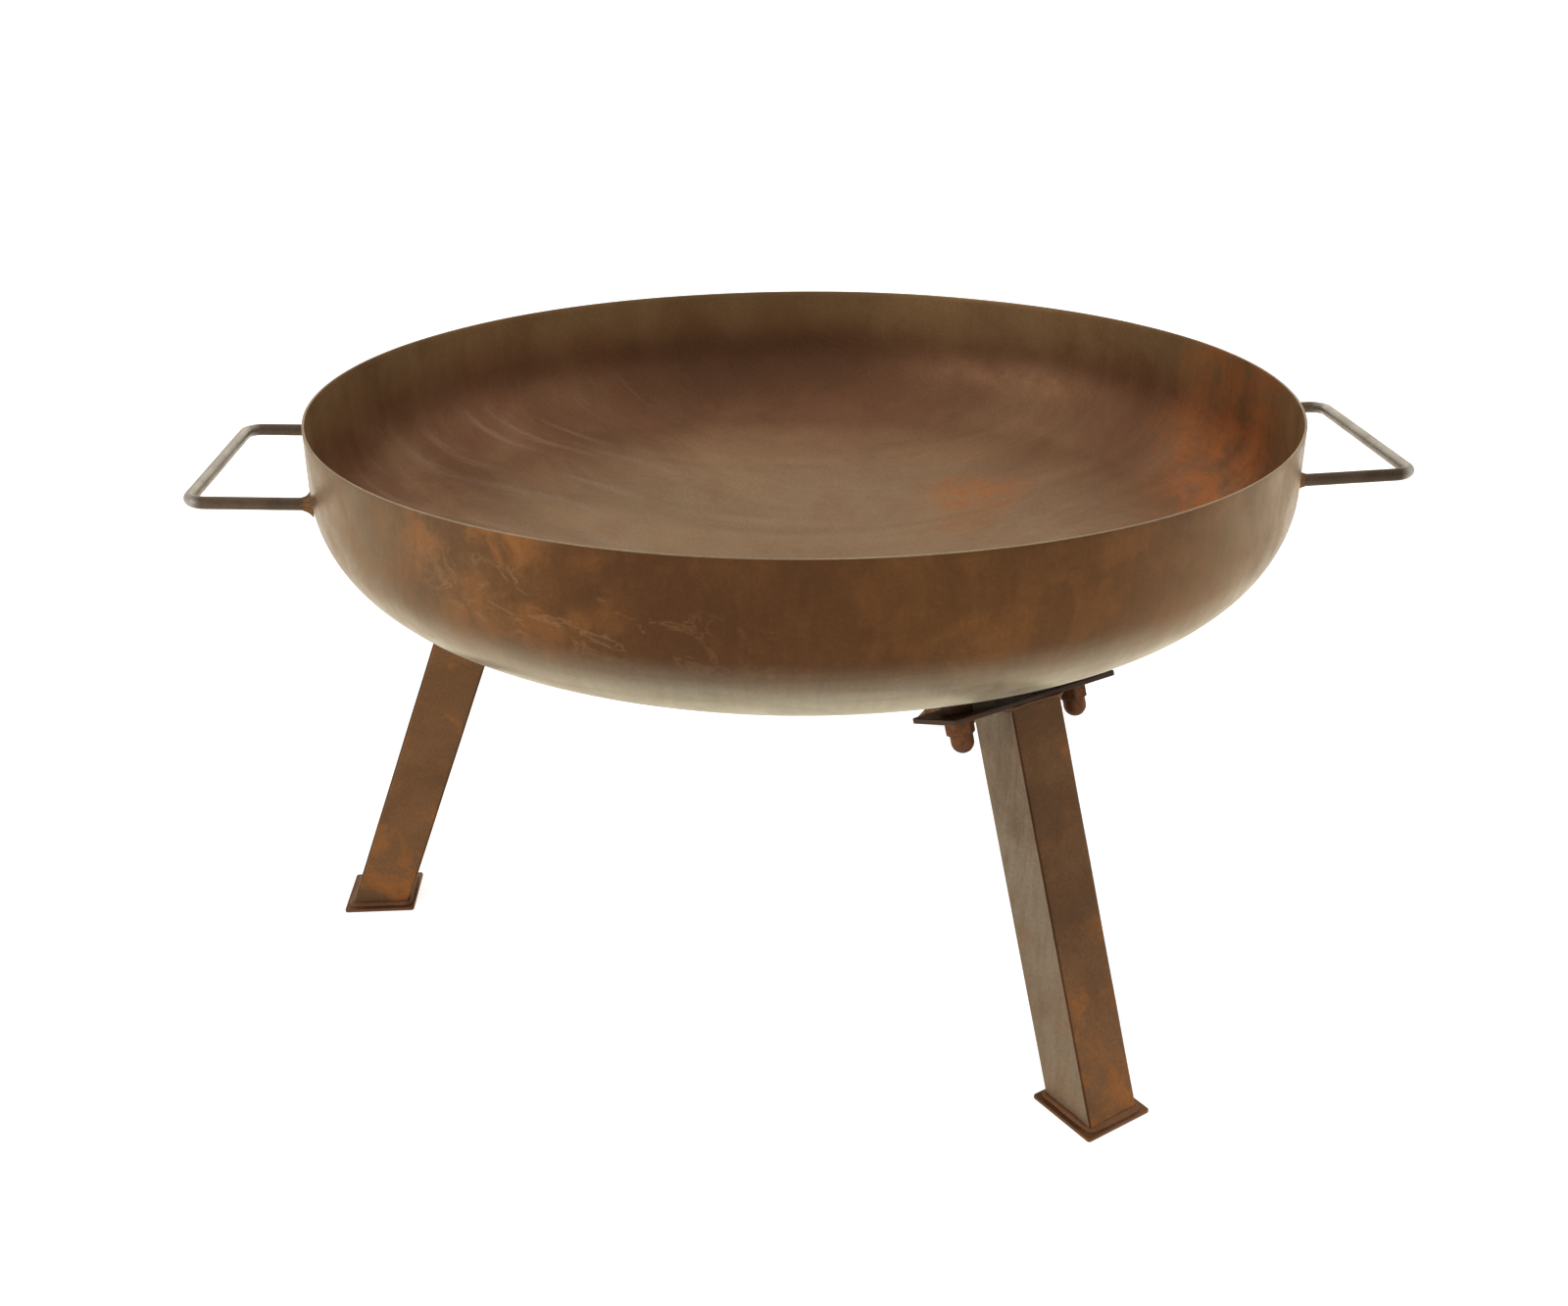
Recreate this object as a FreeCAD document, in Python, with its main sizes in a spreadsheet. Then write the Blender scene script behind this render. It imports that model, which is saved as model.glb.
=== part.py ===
# Steel fire bowl on three legs: a dished bowl with two rod handles, standing on square tube legs
# that are bolted under the bowl through mounting plates. Millimetres; +Z up; the ground is Z = 0;
# the bowl's axis is the Z axis; +X points along the right handle.
import FreeCAD, Part
import Sketcher
import math
import os

V = FreeCAD.Vector

doc = FreeCAD.newDocument("fire_bowl")

# ---------------------------------------------------------------------------
# Driving dimensions: word, value, what it is
# ---------------------------------------------------------------------------
DIMS = [
    ("rim_radius", 400, "outside radius of the rim"),
    ("total_height", 472, "ground to the top of the rim"),
    ("wall", 2, "bowl sheet thickness"),
    ("collar_height", 49, "straight part of the bowl under the rim"),
    ("knuckle_radius", 89, "outside radius of the turn below the collar"),
    ("crown_radius", 750, "outside radius of the dished bottom"),
    ("lean_angle", 20.5, "leg angle from upright, degrees"),
    ("leg_radius", 276, "bowl axis to the leg axis at the bowl's underside"),
    ("tube_size", 47.5, "leg tube, outside"),
    ("tube_wall", 2, "leg tube wall"),
    ("tube_corner", 3, "leg tube outside corner radius"),
    ("plate_margin", 2.5, "mounting plate beyond the tube, along the radius"),
    ("plate_thick", 4, "mounting plate thickness"),
    ("plate_corner", 3, "mounting plate corner radius"),
    ("stud_clear", 30.75, "side of the tube to a stud's axis"),
    ("stud_edge", 22.5, "stud's axis to the end of the mounting plate"),
    ("stud_dia", 12, "stud diameter"),
    ("clear_dia", 13, "clearance hole diameter"),
    ("stud_grip", 19, "stud length inside the cap nut"),
    ("spacer_dia", 24, "spacer ring outside diameter"),
    ("spacer_gap", 7, "plate to the bowl, on the leg axis"),
    ("washer_dia", 24, "washer outside diameter"),
    ("washer_thick", 2.5, "washer thickness"),
    ("nut_flats", 19, "cap nut across flats"),
    ("nut_hex", 10, "cap nut hexagon height"),
    ("nut_height", 24, "cap nut overall height"),
    ("nut_dome", 17, "cap nut dome diameter"),
    ("foot_margin", 7.25, "foot plate beyond the tube, on each side"),
    ("foot_thick", 3, "foot plate thickness"),
    ("foot_corner", 2, "foot plate corner radius"),
    ("leg_weld", 4, "weld size round the tube ends"),
    ("handle_width", 202, "between the two arms of a handle, centre to centre"),
    ("handle_reach", 82, "rim to the centre of the hand bar"),
    ("handle_drop", 56, "rim down to the rod centre, at the rim radius"),
    ("handle_tilt", 2.2, "rise of the handle towards the hand bar, degrees"),
    ("rod_dia", 10, "handle rod diameter"),
    ("rod_bend", 14, "bend radius of the rod's centre line"),
    ("rod_weld", 5, "weld size round the rod ends"),
    ("right_turn", 0, "direction of the right handle, degrees"),
    ("left_turn", 180, "direction of the left handle, degrees"),
    ("leg_a_turn", -60, "direction of leg a, degrees"),
    ("leg_b_turn", 180, "direction of leg b, degrees"),
    ("leg_c_turn", 60, "direction of leg c, degrees"),
]

# Values worked out from the driving dimensions
DERIVED = [
    ("plate_width", "=tube_size + 2 * plate_margin", "mounting plate, along the radius"),
    ("stud_spacing", "=tube_size + 2 * stud_clear", "between the two studs of one leg"),
    ("plate_length", "=stud_spacing + 2 * stud_edge", "mounting plate, across the leg"),
    ("foot_size", "=tube_size + 2 * foot_margin", "foot plate, square"),
    ("collar_foot", "=total_height - collar_height", "height of the collar's lower end"),
    ("crown_centre", "=collar_foot + sqrt((crown_radius - knuckle_radius)^2 - (rim_radius - knuckle_radius)^2)",
     "height of the crown's centre"),
    ("touch_height", "=crown_centre - sqrt(crown_radius^2 - leg_radius^2)", "underside height on the leg axis"),
    ("top_radius", "=leg_radius + (spacer_gap + plate_thick) * sin(lean_angle)", "leg top centre, from the axis"),
    ("top_height", "=touch_height - (spacer_gap + plate_thick) * cos(lean_angle)", "leg top centre, height"),
    ("arm_start", "=sqrt(rim_radius^2 - (handle_width / 2)^2)", "where the handle arms meet the bowl"),
    ("foot_radius", "=top_radius + (top_height - foot_thick) * tan(lean_angle)", "foot centre, from the axis"),
]

sheet = doc.addObject("Spreadsheet::Sheet", "dims")
for row, (word, value, note) in enumerate(DIMS + DERIVED, start=1):
    sheet.set("A%d" % row, word)
    sheet.set("B%d" % row, str(value))
    sheet.set("C%d" % row, note)
    sheet.setAlias("B%d" % row, word)
doc.recompute()


def dim(word):
    """Present value of a dimension."""
    return float(getattr(sheet, word))


# ---------------------------------------------------------------------------
# Sketch and feature helpers
# ---------------------------------------------------------------------------
def bind(thing, path, text):
    """Tie a property to the sheet; words of the sheet are written as #word."""
    thing.setExpression(path, text.replace("#", "dims."))


def new_body(label, turn=None):
    """A body whose frame is the object frame turned about the bowl's axis."""
    body = doc.addObject("PartDesign::Body", label)
    body.Label = label
    if turn is not None:
        body.Placement = FreeCAD.Placement(V(0, 0, 0), FreeCAD.Rotation(V(0, 0, 1), dim(turn)))
        bind(body, "Placement", "placement(vector(0; 0; 0); rotation(#%s; 0; 0))" % turn)
    return body


def plane_of(body, role):
    """One of the body's own origin planes."""
    for feature in body.Origin.OriginFeatures:
        if feature.Role == role:
            return feature
    raise ValueError("no plane " + role)


def new_sketch(body, role, name):
    """A sketch on an origin plane of the body."""
    sketch = body.newObject("Sketcher::SketchObject", name)
    sketch.AttachmentSupport = (plane_of(body, role), [""])
    sketch.MapMode = "FlatFace"
    return sketch


def move_sketch(sketch, base, axis=None, angle=None):
    """Shift a sketch in its plane's frame and turn it about an axis; all three from the sheet."""
    if axis is not None:
        sketch.AttachmentOffset = FreeCAD.Placement(V(0, 0, 0), FreeCAD.Rotation(axis, 10))
        bind(sketch, ".AttachmentOffset.Rotation.Angle", angle)
    for letter, text in zip("xyz", base):
        if text:
            bind(sketch, ".AttachmentOffset.Base." + letter, text)


def size(sketch, kind, where, text, name):
    """A dimension constraint driven by the sheet."""
    start = float(sketch.evalExpression(text.replace("#", "dims.")))
    index = sketch.addConstraint(Sketcher.Constraint(kind, *where, start))
    sketch.renameConstraint(index, name)
    bind(sketch, "Constraints." + name, text)


def fix(sketch, kind, *where):
    """A geometric constraint."""
    sketch.addConstraint(Sketcher.Constraint(kind, *where))


def arc(centre, radius, first, last):
    """A circular arc, counter-clockwise, angles in radians."""
    circle = Part.Circle(centre, V(0, 0, 1), radius)
    return Part.ArcOfCircle(circle, first, last)


def add_circle(sketch, diameter, text):
    """A circle on the sketch origin."""
    ring = sketch.addGeometry(Part.Circle(V(0, 0, 0), V(0, 0, 1), diameter / 2), False)
    fix(sketch, "Coincident", ring, 3, -1, 1)
    size(sketch, "Diameter", (ring,), text, "dia%d" % ring)


def add_rounded(sketch, wide, high, corner, texts):
    """A rounded rectangle centred on the sketch origin; texts drive width, height and corner."""
    a, b, r = wide / 2, high / 2, corner
    quarter = math.pi / 2
    first = len(sketch.Geometry)
    top, right_top, right, right_low, low, left_low, left, left_top = range(first, first + 8)
    sketch.addGeometry([
        Part.LineSegment(V(-a + r, b, 0), V(a - r, b, 0)),
        arc(V(a - r, b - r, 0), r, 0, quarter),
        Part.LineSegment(V(a, b - r, 0), V(a, -b + r, 0)),
        arc(V(a - r, -b + r, 0), r, -quarter, 0),
        Part.LineSegment(V(a - r, -b, 0), V(-a + r, -b, 0)),
        arc(V(-a + r, -b + r, 0), r, 2 * quarter, 3 * quarter),
        Part.LineSegment(V(-a, -b + r, 0), V(-a, b - r, 0)),
        arc(V(-a + r, b - r, 0), r, quarter, 2 * quarter),
    ], False)
    for line, bend, after in (
        (top, right_top, right),
        (right, right_low, low),
        (low, left_low, left),
        (left, left_top, top),
    ):
        fix(sketch, "Tangent", line, 2, bend, 2)
        fix(sketch, "Tangent", bend, 1, after, 1)
    for line in (top, low):
        fix(sketch, "Horizontal", line)
    for line in (right, left):
        fix(sketch, "Vertical", line)
    for bend in (right_low, left_low, left_top):
        fix(sketch, "Equal", right_top, bend)
    fix(sketch, "Symmetric", right_top, 3, left_low, 3, -1, 1)
    size(sketch, "DistanceX", (left, 1, right, 1), texts[0], "wide%d" % first)
    size(sketch, "DistanceY", (low, 1, top, 1), texts[1], "high%d" % first)
    size(sketch, "Radius", (right_top,), texts[2], "corner%d" % first)


def pad(body, sketch, name, text, reverse=False, taper=None):
    """Add material from a sketch over a length from the sheet."""
    feature = body.newObject("PartDesign::Pad", name)
    feature.Profile = sketch
    feature.Length = 5
    feature.Reversed = reverse
    bind(feature, "Length", text)
    if taper is not None:
        feature.TaperAngle = taper
    doc.recompute()
    return feature


def pocket(body, sketch, name, text, reverse=False, midplane=False):
    """Take material away over a length from the sheet; it must really remove something."""
    before = body.Tip.Shape.Volume
    feature = body.newObject("PartDesign::Pocket", name)
    feature.Profile = sketch
    feature.Length = 5
    feature.Reversed = reverse
    feature.Midplane = midplane
    bind(feature, "Length", text)
    doc.recompute()
    if not feature.Shape.Volume < before - 1e-6:
        raise RuntimeError(body.Label + ": " + name + " removes nothing")
    return feature


# ---------------------------------------------------------------------------
# The bowl's outside line, shared by the bowl and by every piece that meets it
# ---------------------------------------------------------------------------
def bowl_numbers():
    """Present radii, heights and the angle where knuckle and crown meet."""
    turn = dim("rim_radius") - dim("knuckle_radius")
    drop = dim("collar_foot") - dim("crown_centre")
    return turn, dim("collar_foot"), dim("crown_centre"), math.atan2(drop, turn)


def outer_line(sketch, top):
    """Collar, knuckle and crown, from the rim down to the axis; the collar's top end stays free."""
    turn, foot, centre, meet = bowl_numbers()
    rim = dim("rim_radius")
    collar, knuckle, crown = 0, 1, 2
    sketch.addGeometry([
        Part.LineSegment(V(rim, top, 0), V(rim, foot, 0)),
        arc(V(turn, foot, 0), dim("knuckle_radius"), meet, 0),
        arc(V(0, centre, 0), dim("crown_radius"), -math.pi / 2, meet),
    ], False)
    fix(sketch, "Vertical", collar)
    fix(sketch, "Tangent", collar, 2, knuckle, 2)
    fix(sketch, "Tangent", knuckle, 1, crown, 2)
    fix(sketch, "PointOnObject", crown, 3, -2)
    fix(sketch, "PointOnObject", crown, 1, -2)
    size(sketch, "Radius", (knuckle,), "#knuckle_radius", "knuckle")
    size(sketch, "Radius", (crown,), "#crown_radius", "crown")
    size(sketch, "DistanceX", (-1, 1, collar, 2), "#rim_radius", "rim")
    size(sketch, "DistanceY", (-1, 1, collar, 2), "#collar_foot", "foot")
    return collar, knuckle, crown


def trim_by_bowl(body):
    """Cut a piece off at the bowl's outside surface."""
    before = body.Tip.Shape.Volume
    top = dim("total_height") + 20
    bottom = dim("crown_centre") - dim("crown_radius")
    sketch = new_sketch(body, "XZ_Plane", body.Label + "_trim_line")
    collar, knuckle, crown = outer_line(sketch, top)
    across, axis = 3, 4
    sketch.addGeometry([
        Part.LineSegment(V(dim("rim_radius"), top, 0), V(0, top, 0)),
        Part.LineSegment(V(0, top, 0), V(0, bottom, 0)),
    ], False)
    fix(sketch, "Coincident", collar, 1, across, 1)
    fix(sketch, "Coincident", across, 2, axis, 1)
    fix(sketch, "Coincident", axis, 2, crown, 1)
    fix(sketch, "Horizontal", across)
    fix(sketch, "Vertical", axis)
    size(sketch, "DistanceY", (-1, 1, collar, 1), "#total_height + 20", "top")
    groove = body.newObject("PartDesign::Groove", body.Label + "_trim")
    groove.Profile = sketch
    groove.ReferenceAxis = (sketch, ["V_Axis"])
    groove.Angle = 360
    doc.recompute()
    if not groove.Shape.Volume < before - 1e-6:
        raise RuntimeError(body.Label + ": the trim removes nothing")
    return groove


def make_bowl():
    """One pressed sheet: collar, knuckle and dished crown, with a plain sheared lip."""
    body = new_body("bowl")
    wall = dim("wall")
    rim = dim("rim_radius")
    height = dim("total_height")
    turn, foot, centre, meet = bowl_numbers()
    bottom = centre - dim("crown_radius")
    sketch = new_sketch(body, "XZ_Plane", "bowl_line")
    collar, knuckle, crown = outer_line(sketch, height)
    axis, inner_crown, inner_knuckle, inner_collar, lip = range(3, 8)
    sketch.addGeometry([
        Part.LineSegment(V(0, bottom, 0), V(0, bottom + wall, 0)),
        arc(V(0, centre, 0), dim("crown_radius") - wall, -math.pi / 2, meet),
        arc(V(turn, foot, 0), dim("knuckle_radius") - wall, meet, 0),
        Part.LineSegment(V(rim - wall, foot, 0), V(rim - wall, height, 0)),
        Part.LineSegment(V(rim - wall, height, 0), V(rim, height, 0)),
    ], False)
    fix(sketch, "Coincident", crown, 1, axis, 1)
    fix(sketch, "Coincident", axis, 2, inner_crown, 1)
    fix(sketch, "Vertical", axis)
    fix(sketch, "Coincident", inner_crown, 3, crown, 3)
    fix(sketch, "Coincident", inner_knuckle, 3, knuckle, 3)
    fix(sketch, "Tangent", inner_crown, 2, inner_knuckle, 1)
    fix(sketch, "Tangent", inner_knuckle, 2, inner_collar, 1)
    fix(sketch, "Vertical", inner_collar)
    fix(sketch, "Coincident", inner_collar, 2, lip, 1)
    fix(sketch, "Coincident", lip, 2, collar, 1)
    fix(sketch, "Horizontal", lip)
    size(sketch, "DistanceY", (axis, 1, axis, 2), "#wall", "sheet_wall")
    size(sketch, "DistanceY", (-1, 1, lip, 2), "#total_height", "lip_height")
    turned = body.newObject("PartDesign::Revolution", "bowl_shell")
    turned.Profile = sketch
    turned.ReferenceAxis = (sketch, ["V_Axis"])
    turned.Angle = 360
    doc.recompute()
    return body


# ---------------------------------------------------------------------------
# Handles
# ---------------------------------------------------------------------------
def make_handle(side):
    """A bent rod: two arms and a hand bar, cut to the bowl's outside."""
    label = "handle_" + side
    body = new_body(label, side + "_turn")
    half = dim("handle_width") / 2
    reach = dim("handle_reach")
    bend = dim("rod_bend")
    back = -40
    path = new_sketch(body, "XY_Plane", label + "_path")
    move_sketch(path, ("#rim_radius", "", "#total_height - #handle_drop"), V(0, -1, 0), "#handle_tilt")
    far_arm, far_bend, bar, near_bend, near_arm = range(5)
    quarter = math.pi / 2
    path.addGeometry([
        Part.LineSegment(V(back, half, 0), V(reach - bend, half, 0)),
        arc(V(reach - bend, half - bend, 0), bend, 0, quarter),
        Part.LineSegment(V(reach, half - bend, 0), V(reach, -half + bend, 0)),
        arc(V(reach - bend, -half + bend, 0), bend, -quarter, 0),
        Part.LineSegment(V(reach - bend, -half, 0), V(back, -half, 0)),
    ], False)
    fix(path, "Tangent", far_arm, 2, far_bend, 2)
    fix(path, "Tangent", far_bend, 1, bar, 1)
    fix(path, "Tangent", bar, 2, near_bend, 2)
    fix(path, "Tangent", near_bend, 1, near_arm, 1)
    fix(path, "Horizontal", far_arm)
    fix(path, "Horizontal", near_arm)
    fix(path, "Equal", far_bend, near_bend)
    fix(path, "Symmetric", far_arm, 1, near_arm, 2, -1)
    size(path, "Radius", (far_bend,), "#rod_bend", "bend")
    size(path, "DistanceY", (near_arm, 2, far_arm, 1), "#handle_width", "width")
    size(path, "DistanceX", (-1, 1, bar, 1), "#handle_reach", "reach")
    size(path, "DistanceX", (far_arm, 1, -1, 1), "#rim_radius * 0.1", "back")
    doc.recompute()
    ring = body.newObject("Sketcher::SketchObject", label + "_section")
    ring.AttachmentSupport = [(path, "Edge1")]
    ring.MapMode = "NormalToEdge"
    ring.MapPathParameter = 0
    add_circle(ring, dim("rod_dia"), "#rod_dia")
    doc.recompute()
    rod = body.newObject("PartDesign::AdditivePipe", label + "_rod")
    rod.Profile = ring
    rod.Spine = (path, ["Edge1", "Edge2", "Edge3", "Edge4", "Edge5"])
    doc.recompute()
    trim_by_bowl(body)
    return body


def make_handle_weld(side, end, sign):
    """A fillet weld round one rod end, on the bowl."""
    label = "handle_%s_weld_%s" % (side, end)
    body = new_body(label, side + "_turn")
    start = "#arm_start - 16"
    across = "%d * #handle_width / 2" % sign
    level = "#total_height - #handle_drop + (%s - #rim_radius) * tan(#handle_tilt)" % start
    base = (across, level, start)
    bead = new_sketch(body, "YZ_Plane", label + "_bead")
    move_sketch(bead, base, V(-1, 0, 0), "#handle_tilt")
    add_circle(bead, 50, "#rod_dia + 2 * #rod_weld + 2 * 16")
    pad(body, bead, label + "_cone", "16 + #rod_weld - 0.5", taper=-45)
    trim_by_bowl(body)
    hole = new_sketch(body, "YZ_Plane", label + "_rod_hole")
    move_sketch(hole, base, V(-1, 0, 0), "#handle_tilt")
    add_circle(hole, dim("rod_dia"), "#rod_dia")
    pocket(body, hole, label + "_bore", "#handle_reach * 2", reverse=True)
    return body


# ---------------------------------------------------------------------------
# Legs: every sketch marked "tilted" lies square to the leg, at the leg's top
# ---------------------------------------------------------------------------
def tilted(body, name, across=""):
    """A sketch square to the leg axis at the top of the tube."""
    sketch = new_sketch(body, "XY_Plane", name)
    move_sketch(sketch, ("#top_radius", across, "#top_height"), V(0, -1, 0), "#lean_angle")
    return sketch


def lifted(sketch, text):
    """Move a tilted sketch along the leg axis, upwards."""
    bind(sketch, ".AttachmentOffset.Base.x", "#top_radius - (" + text + ") * sin(#lean_angle)")
    bind(sketch, ".AttachmentOffset.Base.z", "#top_height + (" + text + ") * cos(#lean_angle)")


TUBE_OUT = ("#tube_size", "#tube_size", "#tube_corner")
TUBE_IN = ("#tube_size - 2 * #tube_wall", "#tube_size - 2 * #tube_wall", "#tube_corner - #tube_wall")
LEG_RUN = "(#top_height / cos(#lean_angle)) + #tube_size"


def make_tube(leg):
    """Square tube, flat at the top and cut level at the foot."""
    label = leg + "_tube"
    body = new_body(label, leg + "_turn")
    side = dim("tube_size")
    inside = side - 2 * dim("tube_wall")
    ring = tilted(body, label + "_section")
    add_rounded(ring, side, side, dim("tube_corner"), TUBE_OUT)
    add_rounded(ring, inside, inside, dim("tube_corner") - dim("tube_wall"), TUBE_IN)
    pad(body, ring, label + "_run", LEG_RUN, reverse=True)
    level = new_sketch(body, "XY_Plane", label + "_level")
    move_sketch(level, ("#foot_radius", "", "#foot_thick"))
    add_rounded(level, 200, 200, 5, ("#tube_size * 5", "#tube_size * 5", "5"))
    pocket(body, level, label + "_cut", "#tube_size * 3")
    return body


def make_plate(leg):
    """Mounting plate across the top of the leg, with two holes."""
    label = leg + "_plate"
    body = new_body(label, leg + "_turn")
    blank = tilted(body, label + "_blank")
    texts = ("#plate_width", "#plate_length", "#plate_corner")
    add_rounded(blank, dim("plate_width"), dim("plate_length"), dim("plate_corner"), texts)
    pad(body, blank, label + "_flat", "#plate_thick")
    for number, sign in ((1, -1), (2, 1)):
        hole = tilted(body, "%s_hole_%d" % (label, number), "%d * #stud_spacing / 2" % sign)
        add_circle(hole, dim("clear_dia"), "#clear_dia")
        pocket(body, hole, "%s_bore_%d" % (label, number), "#plate_thick * 4", midplane=True)
    return body


def make_foot(leg):
    """Flat square foot plate, lying on the ground."""
    label = leg + "_foot"
    body = new_body(label, leg + "_turn")
    blank = new_sketch(body, "XY_Plane", label + "_blank")
    move_sketch(blank, ("#foot_radius", "", ""))
    texts = ("#foot_size", "#foot_size", "#foot_corner")
    add_rounded(blank, dim("foot_size"), dim("foot_size"), dim("foot_corner"), texts)
    pad(body, blank, label + "_flat", "#foot_thick")
    return body


def make_top_weld(leg):
    """Fillet weld round the tube, under the mounting plate."""
    label = leg + "_top_weld"
    body = new_body(label, leg + "_turn")
    bead = tilted(body, label + "_bead")
    wide = dim("plate_width")
    high = dim("tube_size") + 2 * dim("leg_weld")
    corner = dim("tube_corner")
    add_rounded(bead, wide, high, corner, ("#plate_width - 1", "#tube_size + 2 * #leg_weld", "#tube_corner"))
    pad(body, bead, label + "_slope", "#leg_weld", reverse=True, taper=-30)
    hole = tilted(body, label + "_tube_hole")
    add_rounded(hole, dim("tube_size"), dim("tube_size"), corner, TUBE_OUT)
    pocket(body, hole, label + "_clear", "#leg_weld * 4", midplane=True)
    return body


def make_foot_weld(leg):
    """Fillet weld round the tube, on the foot plate."""
    label = leg + "_foot_weld"
    body = new_body(label, leg + "_turn")
    bead = new_sketch(body, "XY_Plane", label + "_bead")
    move_sketch(bead, ("#foot_radius", "", "#foot_thick"))
    wide = dim("tube_size") / math.cos(math.radians(dim("lean_angle"))) + 2 * dim("leg_weld")
    high = dim("tube_size") + 2 * dim("leg_weld")
    corner = dim("tube_corner") + dim("leg_weld")
    texts = (
        "#tube_size / cos(#lean_angle) + 2 * #leg_weld",
        "#tube_size + 2 * #leg_weld",
        "#tube_corner + #leg_weld",
    )
    add_rounded(bead, wide, high, corner, texts)
    pad(body, bead, label + "_slope", "#leg_weld", taper=-40)
    hole = tilted(body, label + "_tube_hole")
    add_rounded(hole, dim("tube_size"), dim("tube_size"), dim("tube_corner"), TUBE_OUT)
    pocket(body, hole, label + "_clear", LEG_RUN)
    return body


# ---------------------------------------------------------------------------
# Fasteners: stud, spacer ring, washer and cap nut on each side of a leg
# ---------------------------------------------------------------------------
def make_stud(leg, number, sign):
    """Threaded stud welded under the bowl, ending inside the cap nut."""
    label = "%s_stud_%d" % (leg, number)
    body = new_body(label, leg + "_turn")
    ring = tilted(body, label + "_section", "%d * #stud_spacing / 2" % sign)
    lifted(ring, "0 - #washer_thick - #stud_grip")
    add_circle(ring, dim("stud_dia"), "#stud_dia")
    run = "#stud_grip + #washer_thick + #plate_thick + #spacer_gap + #stud_spacing / 4"
    pad(body, ring, label + "_run", run)
    trim_by_bowl(body)
    return body


def make_spacer(leg, number, sign):
    """Ring between the mounting plate and the bowl, shaped to the bowl on top."""
    label = "%s_spacer_%d" % (leg, number)
    body = new_body(label, leg + "_turn")
    ring = tilted(body, label + "_section", "%d * #stud_spacing / 2" % sign)
    lifted(ring, "#plate_thick")
    add_circle(ring, dim("spacer_dia"), "#spacer_dia")
    add_circle(ring, dim("stud_dia"), "#stud_dia")
    pad(body, ring, label + "_run", "#spacer_gap + #stud_spacing / 4")
    trim_by_bowl(body)
    return body


def fastener_body(label, leg, sign, down):
    """A body standing on the stud axis; its Z runs down the stud from the plate or the washer."""
    body = doc.addObject("PartDesign::Body", label)
    body.Label = label
    turn = "#%s_turn" % leg
    radius = "(#top_radius + (%s) * sin(#lean_angle))" % down
    height = "(#top_height - (%s) * cos(#lean_angle))" % down
    across = "(%d * #stud_spacing / 2)" % sign
    x = "%s * cos(%s) - %s * sin(%s)" % (radius, turn, across, turn)
    y = "%s * sin(%s) + %s * cos(%s)" % (radius, turn, across, turn)
    aim = "rotation(%s; 180 - #lean_angle; 0)" % turn
    bind(body, "Placement", "placement(vector(%s; %s; %s); %s)" % (x, y, height, aim))
    return body


def make_washer(leg, number, sign):
    """Flat washer under the mounting plate."""
    label = "%s_washer_%d" % (leg, number)
    body = fastener_body(label, leg, sign, "0")
    ring = new_sketch(body, "XY_Plane", label + "_section")
    add_circle(ring, dim("washer_dia"), "#washer_dia")
    add_circle(ring, dim("clear_dia"), "#clear_dia")
    pad(body, ring, label + "_flat", "#washer_thick")
    return body


def make_nut(leg, number, sign):
    """Cap nut: hexagon, domed end and a blind hole the stud fills."""
    label = "%s_nut_%d" % (leg, number)
    body = fastener_body(label, leg, sign, "#washer_thick")
    hexagon = new_sketch(body, "XY_Plane", label + "_hexagon")
    radius = dim("nut_flats") / math.sqrt(3)
    points = []
    for step in range(6):
        angle = math.radians(60 * step + 30)
        points.append(V(radius * math.cos(angle), radius * math.sin(angle), 0))
    sides = list(range(6))
    hexagon.addGeometry([Part.LineSegment(points[k], points[(k + 1) % 6]) for k in sides], False)
    guide = hexagon.addGeometry(Part.Circle(V(0, 0, 0), V(0, 0, 1), dim("nut_flats") / 2), True)
    for k in sides:
        fix(hexagon, "Coincident", k, 2, (k + 1) % 6, 1)
        fix(hexagon, "Tangent", k, guide)
    for k in sides[1:]:
        fix(hexagon, "Equal", 0, k)
    fix(hexagon, "Coincident", guide, 3, -1, 1)
    fix(hexagon, "Vertical", 5)
    size(hexagon, "Diameter", (guide,), "#nut_flats", "flats")
    pad(body, hexagon, label + "_hex", "#nut_hex")
    dome = new_sketch(body, "XZ_Plane", label + "_dome_line")
    half = dim("nut_dome") / 2
    high = dim("nut_height")
    low, side, cap, axis = range(4)
    dome.addGeometry([
        Part.LineSegment(V(0, 1, 0), V(half, 1, 0)),
        Part.LineSegment(V(half, 1, 0), V(half, high - half, 0)),
        arc(V(0, high - half, 0), half, 0, math.pi / 2),
        Part.LineSegment(V(0, high, 0), V(0, 1, 0)),
    ], False)
    fix(dome, "Coincident", low, 2, side, 1)
    fix(dome, "Tangent", side, 2, cap, 1)
    fix(dome, "Coincident", cap, 2, axis, 1)
    fix(dome, "Coincident", axis, 2, low, 1)
    fix(dome, "Horizontal", low)
    fix(dome, "Vertical", side)
    fix(dome, "PointOnObject", cap, 3, -2)
    fix(dome, "PointOnObject", axis, 1, -2)
    fix(dome, "PointOnObject", axis, 2, -2)
    size(dome, "DistanceX", (-1, 1, side, 1), "#nut_dome / 2", "half")
    size(dome, "DistanceY", (-1, 1, side, 1), "1", "start")
    size(dome, "DistanceY", (-1, 1, axis, 1), "#nut_height", "high")
    turned = body.newObject("PartDesign::Revolution", label + "_dome")
    turned.Profile = dome
    turned.ReferenceAxis = (dome, ["V_Axis"])
    turned.Angle = 360
    doc.recompute()
    hole = new_sketch(body, "XY_Plane", label + "_hole")
    add_circle(hole, dim("stud_dia"), "#stud_dia")
    pocket(body, hole, label + "_bore", "#stud_grip", reverse=True)
    return body


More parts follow.
